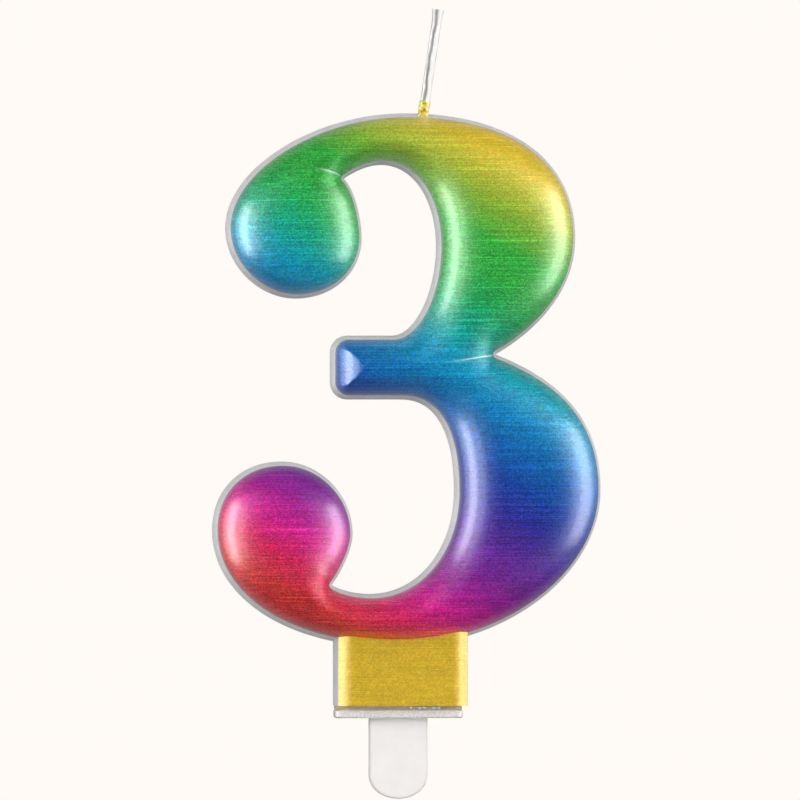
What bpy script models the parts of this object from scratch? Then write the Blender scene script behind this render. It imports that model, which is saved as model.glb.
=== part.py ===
"""Number birthday candle: a moulded wax numeral 3 on a small pedestal, faced with metallic foil, with a wick
at its crown and a flat plastic pick below that stands it in a cake.

The origin is the middle of the foot plate's underside, where the plate rests on the icing. +Z is up, and the
candle faces -Y. The wax casting has a flat back, and all of its relief is on the front.
"""

import math

import bmesh
import bpy
import numpy as np
from mathutils import Matrix, Vector
from mathutils.geometry import delaunay_2d_cdt

MM = 0.001

# Fits between pieces
GAP = 0.30 * MM  # between a piece and the one that it rests on
FINE_GAP = 0.20 * MM  # round the wick
FOIL = 0.15 * MM  # foil thickness, a stand-in for a film that is far thinner

# Wax casting, measured forward (towards -Y) from its flat back
BACK_Y = 2.0 * MM
RIM_DEPTH = 2.35 * MM  # bare side wall behind the foil's edge
RIM_DRAFT = 0.50 * MM  # how far that wall leans in over its depth
PILLOW_RISE = 6.0 * MM  # the most that the face swells forward of the foil's edge
PILLOW_REACH = 6.5 * MM  # distance in from the foil's edge at which the face is flat
PILLOW_POWER = 2.2  # 2 is an elliptical shoulder, and more is a squarer one

# Outline of the numeral, clockwise from its crown as seen from the front. An anchor has its x and z in mm, the
# directions of travel arriving and leaving in degrees (0 is +X, 90 is +Z), and the fullness of the span after
# it: 0.55 is a quarter of an ellipse, less is flatter and more is squarer.
OUTLINE = (
    ("crown", 1.0, 73.7, 0, 0, 0.63),
    ("upper_bowl_right", 21.9, 58.5, -90, -90, 0.64),
    ("waist", 12.1, 44.3, -150, -21, 0.68),
    ("lower_bowl_right", 25.0, 27.8, -90, -90, 0.54),
    ("base", -0.4, 8.6, 180, 180, 0.58),
    ("lower_ball_left", -22.6, 22.9, 90, 90, 0.59),
    ("lower_ball_top", -14.1, 31.25, 0, 0, 0.54),
    ("lower_ball_right", -5.4, 22.4, -90, -90, 0.57),
    ("lower_notch", -7.95, 16.2, -126, -34, 0.59),
    ("lower_counter_floor", -3.3, 15.1, 0, 0, 0.57),
    ("lower_counter_right", 7.0, 27.7, 90, 90, 0.65),
    ("arm_root_low", 0.5, 38.8, 180, 180, None),
    ("arm_root_high", -0.6, 46.6, 0, 0, 0.52),
    ("upper_counter_right", 4.8, 57.5, 90, 90, 0.58),
    ("upper_counter_top", -1.95, 67.4, 180, 180, 0.63),
    ("upper_notch", -6.5, 65.7, -145, -38, 0.50),
    ("upper_ball_right", -4.3, 58.5, -90, -90, 0.57),
    ("upper_ball_foot", -12.4, 51.1, 180, 180, 0.53),
    ("upper_ball_left", -21.0, 59.7, 90, 90, 0.51),
)
ARM_END_X = -8.2  # mm
ARM_CORNER = 2.1  # mm

# Pedestal under the numeral
PEDESTAL_X = 0.45 * MM
PEDESTAL_WIDTH = 16.1 * MM
PEDESTAL_BOTTOM = 1.5 * MM
PEDESTAL_FRONT_Y = -3.0 * MM  # outer face of the gold foil
PEDESTAL_EDGE = 1.2 * MM  # radius of the front's upright edges
PEDESTAL_TOP = 12.0 * MM  # buried in the numeral

# Foot plate on the icing
PLATE_WIDTH = 15.6 * MM
PLATE_DEPTH = 4.0 * MM
PLATE_THICKNESS = 1.05 * MM
PLATE_CORNER = 0.8 * MM

# Plastic pick
PICK_WIDTH = 7.1 * MM
PICK_THICKNESS = 1.9 * MM
PICK_BOTTOM = -9.85 * MM
PICK_TIP = 2.85 * MM  # height of the rounded end
PICK_TOP = 8.6 * MM
PICK_EDGE = 0.35 * MM
SLOT_HEADROOM = 0.4 * MM

# Wick and the dab of wax that seals it in
WICK_RADIUS = 0.62 * MM
WICK_FOOT = Vector((3.1 * MM, 0.6 * MM, 73.35 * MM))  # where its axis leaves the wax
WICK_LEAN = math.radians(8.8)
WICK_ABOVE = 13.1 * MM
WICK_BELOW = 6.0 * MM
SEAL_RADIUS = 1.12 * MM
SEAL_START = 0.75 * MM  # along the wick from its foot, clear of the crown
SEAL_HEIGHT = 1.6 * MM

# Bead of glue in the seam between the pedestal and the foot plate
BEAD_X = (1.2 * MM, 5.1 * MM)
BEAD_Y = -1.6 * MM
BEAD_RADIUS = 0.13 * MM

OUTLINE_STEP = 1.9  # mm between points along the numeral's outline
FACE_STEP = 1.9 * MM  # between points on the pillowed face
SHOULDER_INSETS = (0.12 * MM, 0.45 * MM, 1.05 * MM, 1.95 * MM)  # rows of points on the face's shoulder


def clear_scene():
    for obj in list(bpy.data.objects):
        bpy.data.objects.remove(obj, do_unlink=True)


def principled(name, colour, metallic, roughness):
    material = bpy.data.materials.new(name)
    material.use_nodes = True
    shader = material.node_tree.nodes["Principled BSDF"]
    shader.inputs["Base Color"].default_value = (*colour, 1.0)
    shader.inputs["Metallic"].default_value = metallic
    shader.inputs["Roughness"].default_value = roughness
    return material


def new_object(name, bm, material=None):
    """Turns bm into an object whose faces point out, smooth except at its sharp edges."""
    bmesh.ops.remove_doubles(bm, verts=bm.verts, dist=0.001 * MM)
    bmesh.ops.recalc_face_normals(bm, faces=bm.faces)
    mesh = bpy.data.meshes.new(name)
    bm.to_mesh(mesh)
    bm.free()
    mesh.shade_smooth()
    mesh.set_sharp_from_angle(angle=math.radians(35))
    obj = bpy.data.objects.new(name, mesh)
    bpy.context.scene.collection.objects.link(obj)
    if material:
        mesh.materials.append(material)
    return obj


def helper(obj):
    obj.hide_render = True
    obj.display_type = "WIRE"
    return obj


def boolean(obj, other, operation):
    modifier = obj.modifiers.new(f"{operation.lower()} {other.name}", "BOOLEAN")
    modifier.operation = operation
    modifier.object = helper(other)


# Outline


def heading(degrees):
    return np.array([math.cos(math.radians(degrees)), math.sin(math.radians(degrees))])


def span_points(start, leaving, end, arriving, fullness):
    """One smooth span: points and unit tangents of a cubic whose handles aim at its tangents' crossing."""
    u, v = heading(leaving), heading(arriving)
    reach = np.linalg.solve(np.column_stack([u, v]), end - start)
    a = start + u * reach[0] * fullness
    b = end - v * reach[1] * fullness
    count = max(4, round(np.linalg.norm(end - start) * 1.1 / OUTLINE_STEP))
    t = np.linspace(0, 1, count + 1)[:, None]
    points = (1 - t) ** 3 * start + 3 * (1 - t) ** 2 * t * a + 3 * (1 - t) * t**2 * b + t**3 * end
    slope = (1 - t) ** 2 * (a - start) + 2 * (1 - t) * t * (b - a) + t**2 * (end - b)
    return points, slope / np.linalg.norm(slope, axis=1)[:, None]


def arc_points(centre, radius, first, last, count):
    """A clockwise arc by its first and last headings of travel."""
    points, tangents = [], []
    for degrees in np.linspace(first, last, count + 1):
        tangents.append(heading(degrees))
        points.append(centre + radius * heading(degrees + 90))
    return np.array(points), np.array(tangents)


def arm_end_points(low, high):
    """The arm's blunt end: out along its underside, round two corners and back along its top."""
    r, x = ARM_CORNER, ARM_END_X
    under = np.linspace([low[0], low[1]], [x + r, low[1]], 5)[:-1]
    corner_low = arc_points(np.array([x + r, low[1] + r]), r, 180, 90, 4)
    corner_high = arc_points(np.array([x + r, high[1] - r]), r, 90, 0, 4)
    over = np.linspace([x + r, high[1]], [high[0], high[1]], 5)[1:]
    points = np.vstack([under, corner_low[0], corner_high[0], over])
    along = [np.tile(heading(180), (len(under), 1)), corner_low[1], corner_high[1]]
    return points, np.vstack([*along, np.tile(heading(0), (len(over), 1))])


def numeral_outline():
    """Points round the numeral in metres and their inward normals. A sharp notch repeats its point with a fan
    of normals, so that a ring set in from it turns in an arc."""
    points, tangents = [], []
    for here, there in zip(OUTLINE, OUTLINE[1:] + OUTLINE[:1]):
        start, end = np.array(here[1:3]), np.array(there[1:3])
        if here[5] is None:
            span = arm_end_points(start, end)
        else:
            span = span_points(start, here[4], end, there[3], here[5])
        points.append(span[0][:-1])
        tangents.append(span[1][:-1])
        if there[3] != there[4]:
            turns = np.linspace(there[3], there[4], 6)[:-1]
            points.append(np.tile(end, (len(turns), 1)))
            tangents.append(np.array([heading(degrees) for degrees in turns]))
    points, tangents = np.vstack(points) * MM, np.vstack(tangents)
    return points, np.column_stack([tangents[:, 1], -tangents[:, 0]])


def distance_to(outline, points):
    """Shortest distance from each point to the closed outline."""
    start, end = outline, np.roll(outline, -1, axis=0)
    keep = np.linalg.norm(end - start, axis=1) > 1e-9
    start, along = start[keep], (end - start)[keep]
    offset = points[:, None] - start[None]
    share = np.clip((offset * along).sum(2) / (along**2).sum(1), 0, 1)
    return np.linalg.norm(offset - share[..., None] * along, axis=2).min(1)


def inside(outline, points):
    start, end = outline, np.roll(outline, -1, axis=0)
    z = points[:, 1:2]
    crosses = (start[:, 1] > z) != (end[:, 1] > z)
    rise = np.where(start[:, 1] == end[:, 1], 1.0, end[:, 1] - start[:, 1])
    x = start[:, 0] + (z - start[:, 1]) * (end[:, 0] - start[:, 0]) / rise
    return (crosses & (points[:, 0:1] < x)).sum(1) % 2 == 1


# Pillowed face


def swell(distance):
    """How far the face stands forward of the foil's edge, by distance in from that edge."""
    share = np.clip(1 - distance / PILLOW_REACH, 0, 1)
    return PILLOW_RISE * (1 - share**PILLOW_POWER) ** (1 / PILLOW_POWER)


def face_mesh(outline, normals, inset):
    """Points and triangles of a face bounded by the ring set in by inset, in rows down its shoulder and an
    even lattice between them. The ring's points come first."""
    ring = outline + normals * inset
    step = FACE_STEP
    rows = [ring + normals * shoulder for shoulder in SHOULDER_INSETS]
    rows = [
        row[distance_to(outline, row) > (inset + shoulder) * 0.98]
        for row, shoulder in zip(rows, SHOULDER_INSETS)
    ]
    low, high = outline.min(0), outline.max(0)
    lattice = []
    for number, z in enumerate(np.arange(low[1], high[1], step * 0.87)):
        xs = np.arange(low[0] + (number % 2) * step / 2, high[0], step)
        lattice.append(np.column_stack([xs, np.full(len(xs), z)]))
    lattice = np.vstack(lattice)
    lattice = lattice[inside(outline, lattice)]
    clear = inset + SHOULDER_INSETS[-1] + step * 0.45
    lattice = lattice[distance_to(outline, lattice) > clear]
    kept = [ring]
    for row in [*rows, lattice]:
        near = np.linalg.norm(row[:, None] - np.vstack(kept)[None], axis=2).min(1)
        row = row[near > 0.1 * MM]
        apart = []
        for point in row:
            if not apart or np.linalg.norm(np.array(apart) - point, axis=1).min() > 0.3 * step:
                apart.append(point)
        kept.append(np.array(apart).reshape(-1, 2))
    points = np.vstack(kept)
    return points, triangles(points, len(ring))


def triangles(points, ring_count):
    """Triangles that fill the ring made by the first ring_count points, through every other point."""
    edges = [(i, (i + 1) % ring_count) for i in range(ring_count)]
    corners = [Vector(p / MM) for p in points]
    found = delaunay_2d_cdt(corners, edges, [], 1, 1e-6)
    if len(found[0]) != len(points):
        raise RuntimeError("the outline crosses or repeats a point")
    back = {new: old[0] for new, old in enumerate(found[3])}
    return [[back[i] for i in face] for face in found[2]]


def add_ring(bm, ring, y):
    return [bm.verts.new((x, y, z)) for x, z in ring]


def join_rings(bm, a, b):
    for i in range(len(a)):
        j = (i + 1) % len(a)
        bm.faces.new((a[i], a[j], b[j], b[i]))


def pillow_block(name, inset, rise_inset, lift, back_y, flare=0.0):
    """A solid numeral from back_y forward: a flat back, a side wall, a ledge and the pillowed face.

    inset is where the face starts, rise_inset where it starts to swell, lift how far it is moved forward, and
    flare how far the side wall at the back stands out from the outline.
    """
    outline, normals = numeral_outline()
    points, faces = face_mesh(outline, normals, inset)
    swelled = swell(np.maximum(distance_to(outline, points) - rise_inset, 0))
    edge_y = BACK_Y - RIM_DEPTH
    bm = bmesh.new()
    front = [bm.verts.new((x, edge_y - lift - s, z)) for (x, z), s in zip(points, swelled)]
    for face in faces:
        bm.faces.new([front[i] for i in face])
    ring = front[: len(outline)]
    if lift:
        wall = add_ring(bm, outline - normals * flare, edge_y - lift)
        join_rings(bm, ring, wall)
    else:
        wall = add_ring(bm, outline + normals * RIM_DRAFT, edge_y)
        join_rings(bm, ring, wall)
    back = add_ring(bm, outline - normals * flare, back_y)
    join_rings(bm, wall, back)
    bmesh.ops.remove_doubles(bm, verts=back + wall, dist=0.001 * MM)
    bmesh.ops.holes_fill(bm, edges=[e for e in bm.edges if e.is_boundary], sides=0)
    bmesh.ops.triangulate(bm, faces=[f for f in bm.faces if len(f.verts) > 4])
    return new_object(name, bm)


def numeral_foil():
    """The foil over the numeral's face, as a thin closed shell clear of the wax."""
    outline, normals = numeral_outline()
    points, faces = face_mesh(outline, normals, RIM_DRAFT)
    depth = distance_to(outline, points) - RIM_DRAFT
    edge_y = BACK_Y - RIM_DEPTH - GAP
    outer_y = edge_y - FOIL - swell(np.maximum(depth, 0))
    inner_y = edge_y - swell(np.maximum(depth - FOIL / 2, 0))
    bm = bmesh.new()
    outer = [bm.verts.new((x, y, z)) for (x, z), y in zip(points, outer_y)]
    inner = [bm.verts.new((x, y, z)) for (x, z), y in zip(points, inner_y)]
    for face in faces:
        bm.faces.new([outer[i] for i in face])
        bm.faces.new([inner[i] for i in reversed(face)])
    join_rings(bm, outer[: len(outline)], inner[: len(outline)])
    return new_object("rainbow_foil", bm, principled("rainbow_foil", (0.10, 0.35, 0.62), 1.0, 0.35))


# Pedestal


def upright_prism(name, profile, bottom, top, material=None):
    """A closed profile of (x, y) points raised from bottom to top."""
    bm = bmesh.new()
    low = [bm.verts.new((x, y, bottom)) for x, y in profile]
    high = [bm.verts.new((x, y, top)) for x, y in profile]
    join_rings(bm, low, high)
    bm.faces.new(low)
    bm.faces.new(high)
    return new_object(name, bm, material)


def front_profile(half_width, front_y, radius, end_y, steps=6):
    """(x, y) points of the pedestal's front from left to right, round both upright edges. end_y is how far back
    each end of it goes."""
    centre_y = front_y + radius
    sweep = math.asin(min(1.0, (centre_y - end_y) / radius)) if end_y < centre_y else 0.0
    left = []
    for angle in np.linspace(sweep, math.pi / 2, steps + 1):
        x = -half_width + radius * (1 - math.cos(angle))
        left.append((PEDESTAL_X + x, centre_y - radius * math.sin(angle)))
    if end_y > centre_y:
        left.insert(0, (PEDESTAL_X - half_width, end_y))
    right = [(2 * PEDESTAL_X - x, y) for x, y in reversed(left)]
    return left + right


def pedestal_wax():
    half = PEDESTAL_WIDTH / 2
    ledge_y = PEDESTAL_FRONT_Y + PEDESTAL_EDGE
    skin = GAP + FOIL
    front = front_profile(half - skin, PEDESTAL_FRONT_Y + skin, PEDESTAL_EDGE - skin, ledge_y)
    sides = [(PEDESTAL_X + half, ledge_y), (PEDESTAL_X + half, BACK_Y)]
    sides += [(PEDESTAL_X - half, BACK_Y), (PEDESTAL_X - half, ledge_y)]
    return helper(upright_prism("pedestal_wax", front + sides, PEDESTAL_BOTTOM, PEDESTAL_TOP))


def pedestal_foil():
    half = PEDESTAL_WIDTH / 2
    end_y = PEDESTAL_FRONT_Y + PEDESTAL_EDGE - GAP
    outer = front_profile(half, PEDESTAL_FRONT_Y, PEDESTAL_EDGE, end_y)
    inner = front_profile(half - FOIL, PEDESTAL_FRONT_Y + FOIL, PEDESTAL_EDGE - FOIL, end_y)
    gold = principled("gold_foil", (0.56, 0.40, 0.05), 1.0, 0.35)
    return upright_prism("gold_foil", outer + inner[::-1], PEDESTAL_BOTTOM, PEDESTAL_TOP, gold)


def pedestal_room():
    """The space that the numeral's foil leaves to the pedestal."""
    half = PEDESTAL_WIDTH / 2 + GAP
    front = front_profile(half, PEDESTAL_FRONT_Y - GAP, PEDESTAL_EDGE + GAP, BACK_Y)
    return upright_prism("pedestal_room", front, PEDESTAL_BOTTOM - GAP, PEDESTAL_TOP)


# Pick and foot plate


def pick_outline(half_width, bottom, tip, top):
    """(x, z) points of the flat pick: straight sides and a rounded end."""
    end = []
    for angle in np.linspace(math.pi, 2 * math.pi, 17):
        end.append((half_width * math.cos(angle), bottom + tip + tip * math.sin(angle)))
    return [(-half_width, top), *end, (half_width, top)]


def pick():
    half, thick = PICK_WIDTH / 2, PICK_THICKNESS / 2
    layers = (
        (PICK_EDGE, -thick),
        (0.3 * PICK_EDGE, -thick + 0.3 * PICK_EDGE),
        (0.0, -thick + PICK_EDGE),
        (0.0, thick - PICK_EDGE),
        (0.3 * PICK_EDGE, thick - 0.3 * PICK_EDGE),
        (PICK_EDGE, thick),
    )
    bm = bmesh.new()
    rings = []
    for inset, y in layers:
        outline = pick_outline(half - inset, PICK_BOTTOM + inset, PICK_TIP - inset, PICK_TOP - inset)
        rings.append(add_ring(bm, outline, y))
    for ring, after in zip(rings, rings[1:]):
        join_rings(bm, ring, after)
    bm.faces.new(rings[0])
    bm.faces.new(rings[-1])
    return new_object("pick", bm, principled("pick", (0.86, 0.86, 0.85), 0.0, 0.3))


def box(name, low, high):
    bm = bmesh.new()
    size = Vector(high) - Vector(low)
    middle = (Vector(low) + Vector(high)) / 2
    bmesh.ops.create_cube(bm, size=1.0, matrix=Matrix.Translation(middle) @ Matrix.Diagonal((*size, 1.0)))
    return new_object(name, bm)


def tang_slot(name, bottom, top):
    half, thick = PICK_WIDTH / 2 + GAP, PICK_THICKNESS / 2 + GAP
    return box(name, (-half, -thick, bottom), (half, thick, top))


def foot_plate():
    half, deep, r = PLATE_WIDTH / 2, PLATE_DEPTH / 2, PLATE_CORNER
    profile = []
    for sx, sy, first in ((1, 1, 0), (-1, 1, 90), (-1, -1, 180), (1, -1, 270)):
        for degrees in np.linspace(first, first + 90, 6):
            turn = heading(degrees) * r
            profile.append((sx * (half - r) + turn[0], sy * (deep - r) + turn[1]))
    silver = principled("foot_plate", (0.62, 0.62, 0.60), 0.8, 0.4)
    plate = upright_prism("foot_plate", profile, 0.0, PLATE_THICKNESS, silver)
    boolean(plate, tang_slot("plate_slot", -1 * MM, PLATE_THICKNESS + 1 * MM), "DIFFERENCE")
    return plate


def glue_bead():
    """A lumpy bead along the seam, as a tube whose radius rises and falls three times."""
    bm = bmesh.new()
    middle_z = (PLATE_THICKNESS + PEDESTAL_BOTTOM) / 2
    rings = []
    for share in np.linspace(0, 1, 19):
        radius = BEAD_RADIUS * (0.62 + 0.38 * math.cos(6 * math.pi * share - math.pi))
        x = BEAD_X[0] + share * (BEAD_X[1] - BEAD_X[0])
        ring = []
        for k in range(8):
            angle = k * math.pi / 4
            y, z = BEAD_Y + radius * math.cos(angle), middle_z + radius * math.sin(angle)
            ring.append(bm.verts.new((x, y, z)))
        rings.append(ring)
    for ring, after in zip(rings, rings[1:]):
        join_rings(bm, ring, after)
    bm.faces.new(rings[0])
    bm.faces.new(rings[-1])
    return new_object("glue_bead", bm, principled("glue_bead", (0.80, 0.80, 0.78), 0.0, 0.15))


# Wick


def along_wick(distance):
    """Frame on the wick's axis at a distance from its foot, with Z along the wick."""
    lean = Matrix.Rotation(WICK_LEAN, 4, "Y")
    return Matrix.Translation(WICK_FOOT) @ lean @ Matrix.Translation((0, 0, distance))


def turned(name, profile, sides, place, material=None):
    """A solid turned about Z from a closed profile of (radius, z) points, put at place."""
    bm = bmesh.new()
    columns = []
    for k in range(sides):
        angle = 2 * math.pi * k / sides
        turn = (math.cos(angle), math.sin(angle))
        columns.append([bm.verts.new((r * turn[0], r * turn[1], z)) for r, z in profile])
    for column, after in zip(columns, columns[1:] + columns[:1]):
        join_rings(bm, column, after)
    bmesh.ops.remove_doubles(bm, verts=bm.verts, dist=0.001 * MM)
    bm.transform(place)
    return new_object(name, bm, material)


def rod_profile(radius, bottom, top, bevel=0.0):
    return [(0, bottom), (radius - bevel, bottom), (radius, bottom + bevel), (radius, top - bevel),
            (radius - bevel, top), (0, top)]


def wick():
    cotton = principled("wick", (0.82, 0.82, 0.80), 0.0, 0.5)
    profile = rod_profile(WICK_RADIUS, 0.0, WICK_ABOVE + WICK_BELOW, 0.12 * MM)
    return turned("wick", profile, 14, along_wick(-WICK_BELOW), cotton)


def wick_bore():
    profile = rod_profile(WICK_RADIUS + FINE_GAP, 0.0, WICK_BELOW + GAP + 4 * MM)
    return turned("wick_bore", profile, 14, along_wick(-WICK_BELOW - GAP))


def wick_seal():
    """The dab of wax round the wick's foot: a collar with a waist between two uneven swellings."""
    r, h, bore = SEAL_RADIUS, SEAL_HEIGHT, WICK_RADIUS + FINE_GAP
    profile = [(bore, 0), (0.97 * r, 0), (r, 0.14 * h), (0.93 * r, 0.36 * h), (0.88 * r, 0.5 * h),
               (0.94 * r, 0.66 * h), (0.97 * r, 0.82 * h), (0.84 * r, h), (bore, h)]
    gold = principled("wick_seal", (0.62, 0.47, 0.06), 0.8, 0.25)
    return turned("wick_seal", profile, 14, along_wick(SEAL_START), gold)


def wax_body():
    """The whole casting, numeral and pedestal in one, with the wick's bore and the slot for the pick."""
    body = pillow_block("wax_body", RIM_DRAFT + GAP, RIM_DRAFT + GAP, 0.0, BACK_Y)
    body.data.materials.append(principled("wax_body", (0.58, 0.59, 0.62), 0.6, 0.35))
    boolean(body, pedestal_wax(), "UNION")
    boolean(body, wick_bore(), "DIFFERENCE")
    slot = tang_slot("wax_slot", PEDESTAL_BOTTOM - 1 * MM, PICK_TOP + SLOT_HEADROOM)
    boolean(body, slot, "DIFFERENCE")
    return body


def main():
    clear_scene()
    wax_body()
    rainbow = numeral_foil()
    boolean(rainbow, pedestal_room(), "DIFFERENCE")
    gold = pedestal_foil()
    numeral_room = pillow_block("numeral_room", RIM_DRAFT - GAP, RIM_DRAFT - GAP, 2 * GAP, BACK_Y + 1 * MM, GAP)
    boolean(gold, numeral_room, "DIFFERENCE")
    foot_plate()
    glue_bead()
    pick()
    wick()
    wick_seal()


main()
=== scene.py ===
"""Looks of the number birthday candle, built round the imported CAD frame. Metres, +Z up, the candle faces -Y."""

import math

import bmesh
import bpy
import numpy as np
from mathutils import Matrix, Vector
from mathutils.geometry import delaunay_2d_cdt


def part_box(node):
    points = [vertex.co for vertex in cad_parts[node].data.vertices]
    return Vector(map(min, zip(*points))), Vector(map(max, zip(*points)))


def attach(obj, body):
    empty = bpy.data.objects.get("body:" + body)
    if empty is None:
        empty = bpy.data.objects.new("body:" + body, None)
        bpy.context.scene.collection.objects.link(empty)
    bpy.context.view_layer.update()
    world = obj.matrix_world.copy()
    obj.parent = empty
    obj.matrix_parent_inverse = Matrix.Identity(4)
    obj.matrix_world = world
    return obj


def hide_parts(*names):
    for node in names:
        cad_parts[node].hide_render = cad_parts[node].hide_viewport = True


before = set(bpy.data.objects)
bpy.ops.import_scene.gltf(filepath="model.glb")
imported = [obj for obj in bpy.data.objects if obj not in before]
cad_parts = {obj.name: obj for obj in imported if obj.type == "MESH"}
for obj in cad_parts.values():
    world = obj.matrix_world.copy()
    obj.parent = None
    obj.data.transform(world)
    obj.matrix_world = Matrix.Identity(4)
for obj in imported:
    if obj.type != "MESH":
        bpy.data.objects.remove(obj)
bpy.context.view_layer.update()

MM = 0.001

# Places read from the frame
BACK_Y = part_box("wax_body")[1].y
GOLD_LOW, GOLD_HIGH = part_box("gold_foil")
PLATE_LOW, PLATE_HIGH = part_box("foot_plate")
PICK_LOW, PICK_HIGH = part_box("pick")
PEDESTAL_X = (GOLD_LOW.x + GOLD_HIGH.x) / 2
PEDESTAL_HALF = (GOLD_HIGH.x - GOLD_LOW.x) / 2

# Relief of the numeral, forward from its flat back
RIM_DEPTH = 2.35 * MM
RIM_DRAFT = 0.50 * MM
PILLOW_RISE = 6.0 * MM
PILLOW_REACH = 6.5 * MM
PILLOW_POWER = 2.2
BACK_FILLET = 0.35 * MM
FOIL = 0.03 * MM
SKIN = 0.035 * MM  # from a foil's outer face to the wax

# Anchors of the numeral's outline, as in the CAD: name, x, z (mm), directions arriving and leaving, fullness
OUTLINE = (
    ("crown", 1.0, 73.7, 0, 0, 0.63),
    ("upper_bowl_right", 21.9, 58.5, -90, -90, 0.64),
    ("waist", 12.1, 44.3, -150, -21, 0.68),
    ("lower_bowl_right", 25.0, 27.8, -90, -90, 0.54),
    ("base", -0.4, 8.6, 180, 180, 0.58),
    ("lower_ball_left", -22.6, 22.9, 90, 90, 0.59),
    ("lower_ball_top", -14.1, 31.25, 0, 0, 0.54),
    ("lower_ball_right", -5.4, 22.4, -90, -90, 0.57),
    ("lower_notch", -7.95, 16.2, -126, -34, 0.59),
    ("lower_counter_floor", -3.3, 15.1, 0, 0, 0.57),
    ("lower_counter_right", 7.0, 27.7, 90, 90, 0.65),
    ("arm_root_low", 0.5, 38.8, 180, 180, None),
    ("arm_root_high", -0.6, 46.6, 0, 0, 0.52),
    ("upper_counter_right", 4.8, 57.5, 90, 90, 0.58),
    ("upper_counter_top", -1.95, 67.4, 180, 180, 0.63),
    ("upper_notch", -6.5, 65.7, -145, -38, 0.50),
    ("upper_ball_right", -4.3, 58.5, -90, -90, 0.57),
    ("upper_ball_foot", -12.4, 51.1, 180, 180, 0.53),
    ("upper_ball_left", -21.0, 59.7, 90, 90, 0.51),
)
# The arm's blunt end (mm)
ARM_END_X = -8.2
ARM_MIDDLE_Z = 42.7
ARM_HALF = 5.0
ARM_CORNER = 2.1
ARM_MITRES = (2.7, 4.7)  # in from the end, where its sharp mitres give way to a smooth crest
OUTLINE_STEP = 0.36
FACE_STEP = 0.30 * MM
NOTCH_FAN = 31  # normals at a sharp notch
SHOULDER_TURNS = (0, 1.5, 3, 5, 7.5, 10.5, 14, 18, 22.5, 27.5, 32.5, 37)  # degrees round the shoulder
BLEND_DEPTHS = (0.9 * MM, 1.6 * MM)  # from sharp mitres near the edge to a smooth crest further in

# Notches: direction of the crease that runs in from each (degrees), its length and bow (mm), and its strength
NOTCHES = {
    "waist": (188, 7.0, 0.0, 1.0),
    "upper_notch": (164, 4.8, 0.2, 0.8),
    "lower_notch": (176, 2.0, 0.0, 0.0),
}
CREASE_ROWS = (-0.30, -0.12, 0.0, 0.12, 0.30)  # mm to the side, rows of points along a crease
CREASE_STEP = 0.2  # mm
CREASE_DEPTH = 0.13 * MM
CREASE_HALF = 0.085  # mm
CREASE_CLEAR = 0.16  # mm between a crease's rows and the points beside them
DULL_AND_SHADE_REACH = (3.4, 5.6)  # mm from a notch, over which its dulled coat and the painted shade darkening its colour fade out
DULL_AND_SHADE_TURN = 15  # degrees past the inward normals at a notch

# Pedestal, plate and pick
PEDESTAL_EDGE = 1.3 * MM  # chamfer of the front's upright edges
PEDESTAL_SOFTNESS = 0.85 * MM  # how far each way a corner of the chamfer is rounded
FRONT_SIDE = 1.2 * MM  # depth of the pedestal's side before it leans out
PEDESTAL_DRAFT = 0.3 * MM  # how much wider it is at its back, on each side
GOLD_WRAP = 1.2 * MM  # how far back the gold reaches over the chamfer
PEDESTAL_TOP = 12.4 * MM
PLATE_CORNER = 0.8 * MM
PLATE_BEVEL = 0.18 * MM
PICK_TIP = 2.85 * MM
PICK_EDGE = 0.35 * MM
SLOT_GAP = 0.1 * MM
CUT = 1 * MM  # how far a cutter runs on past a face
SEAM_FRONT_Y = -1.7 * MM  # front of the glue film in the seam
# Swellings of the glue: place (share of its length), size and half width
GLUE_SWELLINGS = ((0.04, 1.0, 0.035), (0.32, 1.25, 0.06), (0.47, 1.1, 0.05), (0.78, 1.15, 0.06), (0.93, 0.9, 0.04))
GLUE_RADIUS = 0.14 * MM
GLUE_FORWARD = 0.28 * MM

SHARP_ANGLE = 40  # degrees, above which an edge of a piece stays sharp

# Wick
WICK_RADIUS = 0.62 * MM
WICK_FOOT = Vector((3.1, 0.6, 73.35)) * MM
WICK_LEAN = math.radians(8.3)
WICK_ABOVE = 13.1 * MM
WICK_BELOW = 6.0 * MM
WICK_FLARE = 0.24  # how much wider the tip is, as a share of the radius
FLARE_FROM = 0.86  # share of the wick's height where the flare begins
SEAL_HEIGHT = 2.05 * MM
SEAL_SUNK = 0.15 * MM
# Grooves along the wick: place round it (degrees), depth (of its radius), half width (degrees), darkness of the
# painted shade in it
WICK_GROOVES = ((248, 0.26, 26, 0.9), (186, 0.10, 14, 0.7), (352, 0.05, 8, 0.6), (70, 0.2, 22, 0.9),
                (130, 0.07, 16, 0.4))

# Camera: the candle seen from slightly left of straight ahead
VIEW_AZIMUTH = math.radians(-5.5)
VIEW_DISTANCE = 1.9
VIEW_TARGET = Vector((0.245, 0.0, 38.74)) * MM
VIEW_WIDTH = 97.6 * MM  # seen across the picture at the candle's back plane
SENSOR = 36.0


def linear(r, g, b):
    """An sRGB colour in 0 to 255 as linear RGBA."""
    def channel(v):
        v = v / 255
        return v / 12.92 if v <= 0.04045 else ((v + 0.055) / 1.055) ** 2.4
    return (channel(r), channel(g), channel(b), 1.0)


def grey(level):
    return (level, level, level, 1.0)


def smoothstep(t):
    t = np.clip(t, 0, 1)
    return t * t * (3 - 2 * t)


# Pieces


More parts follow.
